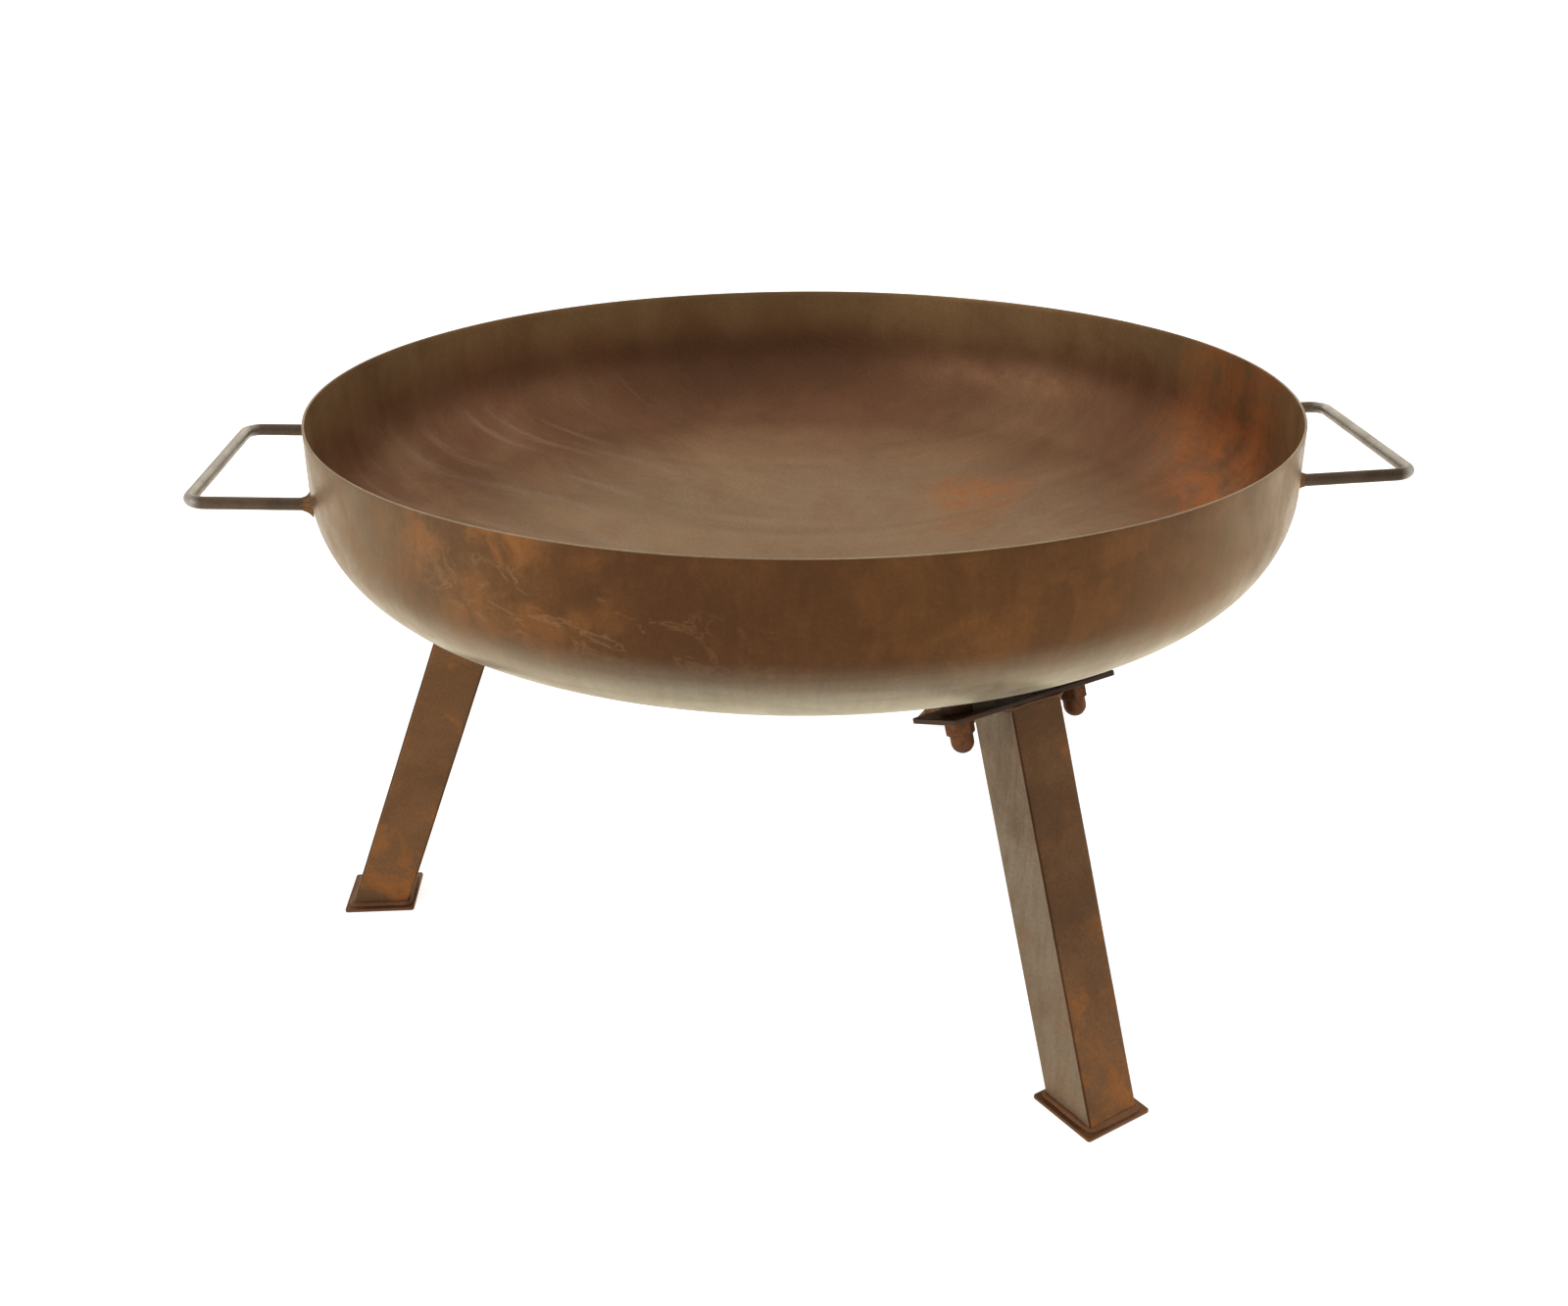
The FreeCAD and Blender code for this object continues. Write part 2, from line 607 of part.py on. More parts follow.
# ---------------------------------------------------------------------------
# Build every piece
# ---------------------------------------------------------------------------
nodes = [make_bowl()]
for side in ("right", "left"):
    nodes.append(make_handle(side))
    nodes.append(make_handle_weld(side, "a", -1))
    nodes.append(make_handle_weld(side, "b", 1))
for leg in ("leg_a", "leg_b", "leg_c"):
    nodes.append(make_tube(leg))
    nodes.append(make_plate(leg))
    nodes.append(make_foot(leg))
    nodes.append(make_top_weld(leg))
    nodes.append(make_foot_weld(leg))
    for number, sign in ((1, -1), (2, 1)):
        nodes.append(make_stud(leg, number, sign))
        nodes.append(make_spacer(leg, number, sign))
        nodes.append(make_washer(leg, number, sign))
        nodes.append(make_nut(leg, number, sign))
doc.recompute()

for thing in doc.Objects:
    if "Invalid" in thing.State or "Error" in thing.State:
        raise RuntimeError("bad state: " + thing.Label)
for node in nodes:
    if node.Shape.isNull() or not node.Shape.isValid():
        raise RuntimeError("bad shape: " + node.Label)
    if len(node.Shape.Solids) < 1:
        raise RuntimeError("no solid: " + node.Label)

os.makedirs("parts", exist_ok=True)
for node in nodes:
    node.Shape.exportStep("parts/" + node.Label + ".step")
    box = node.Shape.BoundBox
    print("%-24s solids %d  volume %10.1f  x %7.1f %7.1f  y %7.1f %7.1f  z %6.1f %6.1f" % (
        node.Label, len(node.Shape.Solids), node.Shape.Volume,
        box.XMin, box.XMax, box.YMin, box.YMax, box.ZMin, box.ZMax))
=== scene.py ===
import math

import bpy
from mathutils import Matrix, Vector, noise


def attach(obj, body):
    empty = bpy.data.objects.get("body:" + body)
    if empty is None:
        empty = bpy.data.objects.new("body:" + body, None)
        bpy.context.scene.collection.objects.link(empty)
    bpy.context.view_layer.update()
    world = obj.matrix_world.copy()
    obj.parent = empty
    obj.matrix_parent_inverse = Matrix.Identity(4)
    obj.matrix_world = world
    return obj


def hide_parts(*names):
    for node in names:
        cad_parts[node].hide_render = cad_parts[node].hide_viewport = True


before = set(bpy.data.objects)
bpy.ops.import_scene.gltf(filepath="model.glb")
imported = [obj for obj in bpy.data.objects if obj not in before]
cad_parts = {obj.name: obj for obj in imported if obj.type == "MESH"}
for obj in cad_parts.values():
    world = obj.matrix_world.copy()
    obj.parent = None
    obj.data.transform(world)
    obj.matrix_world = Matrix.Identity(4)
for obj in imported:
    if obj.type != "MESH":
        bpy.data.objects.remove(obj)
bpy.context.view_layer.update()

TAU = 2 * math.pi

# ---------------------------------------------------------------------------
# Sizes, in metres, the same as the CAD model's
# ---------------------------------------------------------------------------
HEIGHT = 0.472
RIM = 0.400
WALL = 0.002
COLLAR = 0.049
KNUCKLE = 0.089
CROWN = 0.750
LEAN = math.radians(20.5)
LEG_RADIUS = 0.276
TUBE = 0.0475
TUBE_CORNER = 0.003
PLATE_LENGTH = 0.154
PLATE_WIDTH = 0.0525
PLATE_THICK = 0.004
STUD_SPACING = 0.109
SPACER = 0.024
SPACER_GAP = 0.007
WASHER = 0.024
WASHER_THICK = 0.0025
NUT_FLATS = 0.019
NUT_HEX = 0.010
NUT_HEIGHT = 0.024
NUT_DOME = 0.017
FOOT = 0.062
FOOT_THICK = 0.003
HANDLE_WIDTH = 0.202
HANDLE_REACH = 0.082
HANDLE_DROP = 0.056
HANDLE_TILT = math.radians(2.2)
ROD = 0.010
ROD_BEND = 0.014
LEG_TURNS = {"leg_a": -60, "leg_b": 180, "leg_c": 60}
HANDLE_TURNS = {"handle_right": 0, "handle_left": 180}

# Finer points of the visible pieces, which the CAD model leaves out
LIP_ROUND = WALL * 0.32
CUT_EDGE = 0.0006
PLATE_CORNER = 0.003
FOOT_CORNER = 0.0022
ROD_WELD = 0.0052
TOP_WELD = 0.0030
FOOT_WELD = 0.0034
RIPPLE = 0.00022
RIPPLES_PER_METRE = 1900
RIPPLES_ROUND_ROD = 15
SPACER_BORE = 0.0062
WASHER_BORE = 0.0066
AROUND_BOWL = 288
AROUND_ROD = 24
AROUND_WELD = 96
AROUND_NUT = 96
AROUND_SMALL = 48

COLLAR_FOOT = HEIGHT - COLLAR
CROWN_CENTRE = COLLAR_FOOT + math.sqrt((CROWN - KNUCKLE) ** 2 - (RIM - KNUCKLE) ** 2)
MEET = math.atan2(COLLAR_FOOT - CROWN_CENTRE, RIM - KNUCKLE)
TOUCH = CROWN_CENTRE - math.sqrt(CROWN ** 2 - LEG_RADIUS ** 2)
TOP_RADIUS = LEG_RADIUS + (SPACER_GAP + PLATE_THICK) * math.sin(LEAN)
TOP_HEIGHT = TOUCH - (SPACER_GAP + PLATE_THICK) * math.cos(LEAN)
FOOT_RADIUS = TOP_RADIUS + (TOP_HEIGHT - FOOT_THICK) * math.tan(LEAN)


# ---------------------------------------------------------------------------
# Camera, floor and light
# ---------------------------------------------------------------------------
CAMERA_PLACE = (-0.0940, -1.3077, HEIGHT + 0.3437)
CAMERA_HEADING = math.radians(3.38)
CAMERA_PITCH = math.radians(23.97)
CAMERA_ROLL = math.radians(-0.30)
CAMERA_LENS = 37.15

SURROUND_LIGHT = 0.95
FLOOR_GREY = (0.62, 0.62, 0.62, 1)
FLOOR_GLOW = (1.0, 0.99, 0.97, 1)
FLOOR_GLOW_STRENGTH = 0.75

# name, place, target, size, power
LAMPS = (
    ("lamp_left", (-2.6, -1.2, 1.1), (0, 0, 0.25), (2.0, 2.0), 26),
    ("lamp_right", (2.6, 0.2, 1.5), (0, 0, 0.3), (2.0, 2.4), 6),
    ("lamp_back", (0.2, 3.0, 1.9), (0, 0, 0.3), (3.4, 1.8), 18),
    ("lamp_top", (0, 0.2, 3.0), (0, 0, 0.3), (2.4, 2.4), 14),
)


def make_camera():
    """The camera in front of the bowl, above the rim, looking down into it."""
    ahead = Vector((
        math.sin(CAMERA_HEADING) * math.cos(CAMERA_PITCH),
        math.cos(CAMERA_HEADING) * math.cos(CAMERA_PITCH),
        -math.sin(CAMERA_PITCH),
    ))
    level = Vector((math.cos(CAMERA_HEADING), -math.sin(CAMERA_HEADING), 0))
    raised = level.cross(ahead)
    right = math.cos(CAMERA_ROLL) * level + math.sin(CAMERA_ROLL) * raised
    up = math.cos(CAMERA_ROLL) * raised - math.sin(CAMERA_ROLL) * level
    data = bpy.data.cameras.new("camera")
    data.sensor_width = 36
    data.lens = CAMERA_LENS
    camera = bpy.data.objects.new("camera", data)
    turn = Matrix((right, up, -ahead)).transposed().to_4x4()
    camera.matrix_world = Matrix.Translation(CAMERA_PLACE) @ turn
    bpy.context.scene.collection.objects.link(camera)
    bpy.context.scene.camera = camera


def area_light(name, place, target, size, power):
    """A soft rectangular lamp aimed at a point."""
    data = bpy.data.lights.new(name, "AREA")
    data.shape = "RECTANGLE"
    data.size, data.size_y = size
    data.energy = power
    lamp = bpy.data.objects.new(name, data)
    aim = (Vector(target) - Vector(place)).to_track_quat("-Z", "Y")
    lamp.matrix_world = Matrix.Translation(place) @ aim.to_matrix().to_4x4()
    bpy.context.scene.collection.objects.link(lamp)


def make_stage():
    """A wide pale floor, a pale surround and soft lamps on both sides, behind and above."""
    scene = bpy.context.scene
    scene.view_settings.view_transform = "Standard"
    world = bpy.data.worlds.new("surround")
    world.use_nodes = True
    back = world.node_tree.nodes["Background"]
    back.inputs["Color"].default_value = (1.0, 1.0, 1.0, 1)
    back.inputs["Strength"].default_value = SURROUND_LIGHT
    scene.world = world
    bpy.ops.mesh.primitive_circle_add(vertices=96, radius=60, fill_type="NGON", location=(0, 0, 0))
    floor = bpy.context.object
    floor.name = "floor"
    paint = bpy.data.materials.new("floor_white")
    paint.use_nodes = True
    coat = paint.node_tree.nodes["Principled BSDF"]
    coat.inputs["Base Color"].default_value = FLOOR_GREY
    coat.inputs["Roughness"].default_value = 0.9
    coat.inputs["Emission Color"].default_value = FLOOR_GLOW
    coat.inputs["Emission Strength"].default_value = FLOOR_GLOW_STRENGTH
    floor.data.materials.append(paint)
    for lamp in LAMPS:
        area_light(*lamp)


# ---------------------------------------------------------------------------
# Material nodes
# ---------------------------------------------------------------------------
METAL = 0.6
SHEEN = (1.0, 0.86, 0.64, 1.0)
SHINE = 0.25


class Shade:
    """Small helper that adds nodes to one material and joins them."""

    def __init__(self, name):
        self.material = bpy.data.materials.new(name)
        self.material.use_nodes = True
        self.tree = self.material.node_tree
        self.skin = self.tree.nodes["Principled BSDF"]
        self.skin.inputs["Metallic"].default_value = METAL
        self.skin.inputs["Specular IOR Level"].default_value = SHINE
        self.skin.inputs["Specular Tint"].default_value = SHEEN

    def add(self, kind, values=(), **settings):
        """A node with settings; values are (socket, constant or output) pairs."""
        made = self.tree.nodes.new(kind)
        for key, value in settings.items():
            setattr(made, key, value)
        for socket, value in values:
            if isinstance(value, bpy.types.NodeSocket):
                self.tree.links.new(value, made.inputs[socket])
            else:
                made.inputs[socket].default_value = value
        return made

    def place(self):
        """Position on the object, in metres."""
        return self.add("ShaderNodeTexCoord").outputs["Object"]

    def math(self, kind, a, b=0.0, clamp=False):
        values = ((0, a), (1, b))
        return self.add("ShaderNodeMath", values, operation=kind, use_clamp=clamp).outputs[0]

    def times(self, a, b):
        return self.math("MULTIPLY", a, b)

    def split(self, vector):
        made = self.add("ShaderNodeSeparateXYZ", ((0, vector),))
        return made.outputs[0], made.outputs[1], made.outputs[2]

    def join(self, x, y, z):
        return self.add("ShaderNodeCombineXYZ", ((0, x), (1, y), (2, z))).outputs[0]

    def clouds(self, where, scale, detail=4.0, rough=0.55, warp=0.0):
        """Fractal noise, about 0 to 1."""
        values = (
            ("Vector", where), ("Scale", scale), ("Detail", detail),
            ("Roughness", rough), ("Distortion", warp),
        )
        return self.add("ShaderNodeTexNoise", values).outputs["Fac"]

    def band(self, value, low, high, a=0.0, b=1.0, smooth=True):
        """Maps low..high to a..b, held at the ends."""
        kind = "SMOOTHSTEP" if smooth else "LINEAR"
        values = ((0, value), (1, low), (2, high), (3, a), (4, b))
        return self.add("ShaderNodeMapRange", values, interpolation_type=kind).outputs[0]

    def mix(self, amount, a, b, kind="MIX"):
        """Colour a, going to colour b."""
        values = ((0, amount), (6, a), (7, b))
        return self.add("ShaderNodeMix", values, data_type="RGBA", blend_type=kind).outputs[2]

    def spot(self, where, centre, reach, ragged):
        """A soft ragged patch round a point, 1 inside and 0 outside."""
        gap = self.add("ShaderNodeVectorMath", ((0, where), (1, centre)), operation="DISTANCE")
        drift = self.times(self.math("SUBTRACT", self.clouds(where, 14.0, 5.0), 0.5), ragged)
        return self.band(self.math("ADD", gap.outputs["Value"], drift), reach * 0.35, reach, 1.0, 0.0)

    def bump(self, height, depth, after=None):
        values = [("Height", height), ("Distance", depth), ("Strength", 1.0)]
        if after is not None:
            values.append(("Normal", after))
        return self.add("ShaderNodeBump", values).outputs["Normal"]

    def finish(self, colour, rough, normal):
        self.tree.links.new(colour, self.skin.inputs["Base Color"])
        self.tree.links.new(rough, self.skin.inputs["Roughness"])
        self.tree.links.new(normal, self.skin.inputs["Normal"])
        return self.material


def rgb(red, green, blue):
    return (red, green, blue, 1.0)


# Shared rust colours
BROWN = rgb(0.115, 0.048, 0.019)
ORANGE = rgb(0.230, 0.085, 0.022)
# Legs, rods and fasteners
LEG_PAINTED_LIGHT = rgb(0.176, 0.134, 0.090)
# Painted light: grey-beige laid on the leg faces turned towards the left lamp
LEG_ORANGE = rgb(0.250, 0.085, 0.018)
# Painted sheen: pale grey laid on the outer hand bars
ROD_PAINTED_SHEEN = rgb(0.290, 0.268, 0.235)
BOLT_DULL = rgb(0.060, 0.034, 0.022)
# Painted shade: dark grey-brown on the faces of the fasteners that point down
BOLT_PAINTED_SHADE = rgb(0.040, 0.028, 0.021)
# Outside of the bowl
OUT_DARK = rgb(0.058, 0.022, 0.007)
OUT_BROWN = rgb(0.086, 0.035, 0.010)
OUT_OLIVE = rgb(0.094, 0.056, 0.026)
OUT_THREAD = rgb(0.290, 0.160, 0.080)
# Paler colour laid towards the sides of the bowl
OUT_PALE = rgb(0.235, 0.160, 0.092)
# Painted reflection: the pale floor seen in the lower turn of the bowl
OUT_PAINTED_REFLECTION = rgb(0.330, 0.300, 0.215)
# Inside of the bowl
IN_BROWN = rgb(0.150, 0.066, 0.032)
IN_WARM = rgb(0.215, 0.112, 0.055)
# Greyer colour towards the middle of the inside
IN_GREY = rgb(0.262, 0.172, 0.098)
# Painted shade, partly deeper rust: the dark ring inside the knuckle
IN_DEEP_RUST_AND_SHADE = rgb(0.084, 0.034, 0.016)
IN_OLIVE = rgb(0.215, 0.128, 0.056)
IN_WIPED = rgb(0.300, 0.212, 0.150)
IN_ORANGE = rgb(0.335, 0.108, 0.030)


def rust(name, dark, mid, bright, patch=0.5, rough=(0.42, 0.66), pits=0.00012, veil=None):
    """Even brown rust with orange clouds, fine speckle and pitting, and a veil where asked; the tube,
    rod and bolt veils add painted light and shade.
    """
    shade = Shade(name)
    where = shade.place()
    large = shade.clouds(where, 7.0, 5.0, 0.6, 0.6)
    middle = shade.clouds(where, 38.0, 6.0, 0.6, 0.3)
    fine = shade.clouds(where, 420.0, 5.0, 0.7)
    colour = shade.mix(shade.band(large, 0.35, 0.68), dark, mid)
    warm = shade.times(shade.band(middle, 0.50, 0.70), shade.band(large, 0.40, 0.62))
    colour = shade.mix(shade.times(warm, patch), colour, bright)
    if veil is not None:
        colour = veil(shade, where, colour)
    grain = shade.band(fine, 0.30, 0.70, 0.80, 1.18, smooth=False)
    colour = shade.mix(1.0, colour, shade.join(grain, grain, grain), "MULTIPLY")
    roughness = shade.band(shade.math("ADD", middle, shade.times(fine, 0.4)), 0.45, 0.95, *rough)
    normal = shade.bump(fine, pits)
    normal = shade.bump(middle, pits * 3, normal)
    return shade.finish(colour, roughness, normal)


def leg_veil(shade, where, colour):
    """Painted grey-beige light on the leg sides that face the left lamp, and orange rust just above the
    feet.
    """
    way = shade.add("ShaderNodeTexCoord").outputs["Normal"]
    # Direction of the left lamp; leg faces turned to it get the painted light, broken up by blotches
    # and streaks
    left_front = (-0.866, -0.5, 0.0)
    turned = shade.add("ShaderNodeVectorMath", ((0, way), (1, left_front)), operation="DOT_PRODUCT")
    blotches = shade.clouds(where, 18.0, 6.0, 0.6, 0.5)
    side = shade.band(turned.outputs["Value"], 0.75, 0.98)
    side = shade.times(side, shade.band(blotches, 0.30, 0.62, 0.55, 1.0))
    x, y, z = shade.split(where)
    streak = shade.clouds(shade.join(x, y, shade.times(z, 0.12)), 130.0, 6.0, 0.62, 0.4)
    side = shade.times(side, shade.band(streak, 0.36, 0.60, 0.72, 1.0))
    colour = shade.mix(side, colour, LEG_PAINTED_LIGHT)
    low = shade.times(shade.band(shade.split(where)[2], 0.085, 0.015), shade.band(blotches, 0.50, 0.64))
    low = shade.times(low, shade.band(side, 0.0, 0.5, 0.7, 0.15))
    return shade.mix(low, colour, LEG_ORANGE)


def rod_veil(shade, where, colour):
    """Painted pale grey sheen on the hand bars, brown rust on the arms."""
    reach = shade.math("ABSOLUTE", shade.split(where)[0])
    blotches = shade.clouds(where, 45.0, 6.0, 0.6, 0.5)
    # The outer bars get the painted pale grey sheen, broken up by blotches
    pale_sheen = shade.times(shade.band(reach, 0.469, 0.481), shade.band(blotches, 0.25, 0.55, 0.7, 1.0))
    return shade.mix(pale_sheen, colour, ROD_PAINTED_SHEEN)


def bolt_veil(shade, where, colour):
    """Mottled rust on the fasteners, and painted dark grey-brown shade on the ends that face down."""
    mottle = shade.band(shade.clouds(where, 260.0, 5.0, 0.65, 0.6), 0.44, 0.58, 0.0, 0.65)
    colour = shade.mix(mottle, colour, BOLT_DULL)
    way = shade.add("ShaderNodeTexCoord").outputs["Normal"]
    # Faces that point down get the painted shade
    low = shade.band(shade.split(way)[2], -0.05, -0.75, 0.0, 0.80)
    return shade.mix(low, colour, BOLT_PAINTED_SHADE)


def bowl_outside():
    """Outside of the bowl: brown rust, a slanting orange trail with thin threads on the left, and a
    painted pale reflection of the floor on the lower turn."""
    shade = Shade("rust_bowl_outside")
    where = shade.place()
    x, y, z = shade.split(where)
    around = shade.math("ARCTAN2", y, x)
    large = shade.clouds(where, 6.0, 5.0, 0.6, 0.8)
    middle = shade.clouds(where, 30.0, 6.0, 0.62, 0.4)
    fine = shade.clouds(where, 420.0, 5.0, 0.7)
    colour = shade.mix(shade.band(large, 0.34, 0.66), OUT_DARK, OUT_BROWN)
    left = shade.band(x, 0.02, -0.26)
    olive = shade.times(shade.band(shade.math("ABSOLUTE", x), 0.20, 0.39), 0.85)
    colour = shade.mix(olive, colour, OUT_OLIVE)
    trail = shade.math("ADD", z, shade.times(x, 0.12))
    trail = shade.math("ABSOLUTE", shade.math("SUBTRACT", trail, 0.402))
    warm = shade.times(shade.band(middle, 0.42, 0.64), shade.band(large, 0.36, 0.58))
    beside = shade.times(left, shade.band(trail, 0.052, 0.012))
    warm = shade.times(warm, shade.band(beside, 0.0, 1.0, 0.20, 0.32))
    colour = shade.mix(warm, colour, ORANGE)
    hot = shade.spot(where, (0.355, -0.175, 0.400), 0.06, 0.12)
    lip = shade.spot(where, (-0.245, -0.316, 0.448), 0.075, 0.12)
    hot = shade.math("ADD", hot, shade.times(lip, shade.band(z, 0.428, 0.458, 0.0, 0.60)), clamp=True)
    hot = shade.times(hot, shade.band(middle, 0.40, 0.62))
    colour = shade.mix(shade.times(hot, 0.7), colour, ORANGE)
    runs = shade.join(shade.times(around, 0.4), 0.0, shade.times(z, 0.22))
    streak = shade.clouds(runs, 150.0, 5.0, 0.6, 0.8)
    slant = shade.join(shade.times(around, 0.22), 0.0, shade.math("ADD", z, shade.times(x, 0.30)))
    ragged = shade.clouds(slant, 52.0, 6.0, 0.62, 1.2)
    thread = shade.times(shade.band(ragged, 0.510, 0.560), shade.band(ragged, 0.620, 0.575))
    marks = shade.times(thread, shade.times(left, shade.band(trail, 0.034, 0.010)))
    marks = shade.times(marks, shade.band(y, -0.27, -0.34, 0.15, 1.0))
    colour = shade.mix(shade.times(marks, 0.26), colour, OUT_THREAD)
    # Paler towards the sides of the bowl, mostly on the right
    side = shade.math("ADD", shade.band(x, 0.16, 0.34), shade.band(x, -0.16, -0.34, 0.0, 0.25))
    paler_sides = shade.times(side, shade.band(large, 0.30, 0.62, 0.15, 0.36))
    colour = shade.mix(paler_sides, colour, OUT_PALE)
    # Painted reflection of the floor: pale streaky colour on the lower turn, fading out underneath
    bands = shade.clouds(shade.join(x, y, shade.times(z, 9.0)), 9.0, 5.0, 0.6, 0.4)
    floor_reflection = shade.times(shade.band(z, 0.404, 0.346), shade.band(bands, 0.25, 0.65, 0.70, 1.0))
    floor_reflection = shade.times(floor_reflection, shade.band(z, 0.300, 0.340, 0.12, 1.0))
    colour = shade.mix(floor_reflection, colour, OUT_PAINTED_REFLECTION)
    tone = shade.band(streak, 0.3, 0.7, 0.95, 1.05)
    grain = shade.times(tone, shade.band(fine, 0.30, 0.70, 0.88, 1.12, smooth=False))
    colour = shade.mix(1.0, colour, shade.join(grain, grain, grain), "MULTIPLY")
    roughness = shade.band(shade.math("ADD", middle, shade.times(fine, 0.3)), 0.45, 0.90, 0.28, 0.46)
    normal = shade.bump(fine, 0.00006)
    normal = shade.bump(large, 0.0012, normal)
    return shade.finish(colour, roughness, normal)


def bowl_inside():
    """Inside of the bowl: red brown, greyer in the middle, wiped on the left, orange on the right."""
    shade = Shade("rust_bowl_inside")
    where = shade.place()
    x, y, z = shade.split(where)
    radius = shade.math("SQRT", shade.math("ADD", shade.times(x, x), shade.times(y, y)))
    large = shade.clouds(where, 5.0, 5.0, 0.6, 0.8)
    middle = shade.clouds(where, 26.0, 6.0, 0.62, 0.5)
    fine = shade.clouds(where, 420.0, 5.0, 0.7)
    colour = shade.mix(shade.band(large, 0.34, 0.66), IN_BROWN, IN_WARM)
    # Greyer towards the middle of the bowl
    grey = shade.times(shade.band(radius, 0.37, 0.24), shade.band(middle, 0.30, 0.65, 0.60, 0.95))
    colour = shade.mix(grey, colour, IN_GREY)
    # A darker ring round the knuckle, strongest at the back and left: painted shade, partly deeper rust
    ring = shade.times(shade.band(radius, 0.315, 0.374), shade.band(z, 0.452, 0.405))
    ring = shade.times(ring, shade.band(y, -0.10, 0.24, 0.35, 0.92))
    ring = shade.times(ring, shade.band(large, 0.30, 0.60, 0.75, 1.0))
    ring = shade.times(ring, shade.band(x, -0.36, -0.08, 0.12, 1.0))
    ring = shade.times(ring, shade.band(x, 0.04, 0.32, 1.0, 0.22))
    colour = shade.mix(ring, colour, IN_DEEP_RUST_AND_SHADE)
    olive = shade.times(shade.band(z, 0.405, 0.465), shade.band(large, 0.30, 0.60, 0.65, 1.0))
    colour = shade.mix(olive, colour, IN_OLIVE)
    arc = shade.math("ADD", x, 0.2)
    arc = shade.math("ADD", y, shade.times(shade.times(arc, arc), 1.6))
    strokes = shade.join(shade.times(arc, 46.0), shade.times(x, 4.5), 0.0)
    wipe = shade.clouds(strokes, 1.0, 4.0, 0.6, 0.3)
    wiped = shade.times(shade.band(wipe, 0.52, 0.72), shade.band(x, -0.04, -0.20))
    wiped = shade.times(wiped, shade.band(z, 0.41, 0.37))
    colour = shade.mix(shade.times(wiped, 0.38), colour, IN_WIPED)
    hot = shade.spot(where, (0.385, 0.05, 0.405), 0.14, 0.16)
    patch = shade.spot(where, (0.178, 0.186, 0.304), 0.062, 0.10)
    hot = shade.math("ADD", hot, shade.times(patch, 0.8), clamp=True)
    flakes = shade.clouds(shade.join(radius, shade.times(y, 0.35), z), 60.0, 8.0, 0.68, 0.6)
    hot = shade.times(hot, shade.band(shade.math("ADD", middle, flakes), 0.72, 1.20, 0.06, 0.80))
    colour = shade.mix(hot, colour, IN_ORANGE)
    smear = shade.join(shade.times(x, 2.6), shade.math("ADD", shade.times(y, 13.0), x), 0.0)
    smear = shade.band(shade.clouds(smear, 1.0, 6.0, 0.66, 0.8), 0.34, 0.66, 0.90, 1.11)
    grain = shade.times(smear, shade.band(fine, 0.30, 0.70, 0.86, 1.13, smooth=False))
    colour = shade.mix(1.0, colour, shade.join(grain, grain, grain), "MULTIPLY")
    roughness = shade.band(shade.math("ADD", middle, shade.times(wipe, 0.5)), 0.5, 1.0, 0.36, 0.52)
    normal = shade.bump(fine, 0.00005)
    normal = shade.bump(large, 0.0010, normal)
    return shade.finish(colour, roughness, normal)


# ---------------------------------------------------------------------------
# Mesh helpers
# ---------------------------------------------------------------------------
def wobble(point, scale, amount):
    """A small steady offset that changes slowly over the surface."""
    return noise.noise(Vector(point) * scale) * amount


def add_piece(name, points, faces, materials, slots=None, hard=None, replaces=()):
    """A mesh piece riding on the fixed body, in place of some CAD nodes."""
    mesh = bpy.data.meshes.new(name)
    mesh.from_pydata([tuple(p) for p in points], [], faces)
    mesh.validate()
    for material in materials:
        mesh.materials.append(material)
    if slots is not None:
        mesh.polygons.foreach_set("material_index", slots)
    mesh.polygons.foreach_set("use_smooth", [True] * len(mesh.polygons))
    mesh.update()
    if hard is not None:
        mesh.set_sharp_from_angle(angle=math.radians(hard))
    piece = bpy.data.objects.new(name, mesh)
    bpy.context.scene.collection.objects.link(piece)
    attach(piece, "root")
    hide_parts(*replaces)
    return piece


def loft(rings, closed=True):
    """Points and faces of a skin over rings that all have the same number of points."""
    count = len(rings[0])
    points = [p for ring in rings for p in ring]
    faces = []
    last = len(rings) if closed else len(rings) - 1
    for row in range(last):
        a = row * count
        b = ((row + 1) % len(rings)) * count
        for k in range(count):
            n = (k + 1) % count
            faces.append((a + k, a + n, b + n, b + k))
    if not closed:
        faces.append(tuple(reversed(range(count))))
        faces.append(tuple(range(len(points) - count, len(points))))
    return points, faces


def radial(turn):
    """The frame of a leg or handle: X outwards along its direction, turned about the bowl's axis."""
    return Matrix.Rotation(math.radians(turn), 4, "Z")


def leg_frame(turn):
    """The frame at the top of a leg: Z up along the leg, X outwards, Y across."""
    tilt = Matrix.Rotation(-LEAN, 4, "Y")
    return radial(turn) @ Matrix.Translation((TOP_RADIUS, 0, TOP_HEIGHT)) @ tilt


def rounded(wide, high, corner, steps=6, side=1):
    """A rounded rectangle about the origin, counter-clockwise."""
    a, b = wide / 2 - corner, high / 2 - corner
    outline = []
    for index, (cx, cy) in enumerate(((a, b), (-a, b), (-a, -b), (a, -b))):
        for step in range(steps + 1):
            angle = (index + step / steps) * math.pi / 2
            outline.append((cx + corner * math.cos(angle), cy + corner * math.sin(angle)))
    if side < 2:
        return outline
    full = []
    for k, (px, py) in enumerate(outline):
        nx, ny = outline[(k + 1) % len(outline)]
        full.append((px, py))
        if math.hypot(nx - px, ny - py) > corner:
            for step in range(1, side):
                t = step / side
                full.append((px + (nx - px) * t, py + (ny - py) * t))
    return full


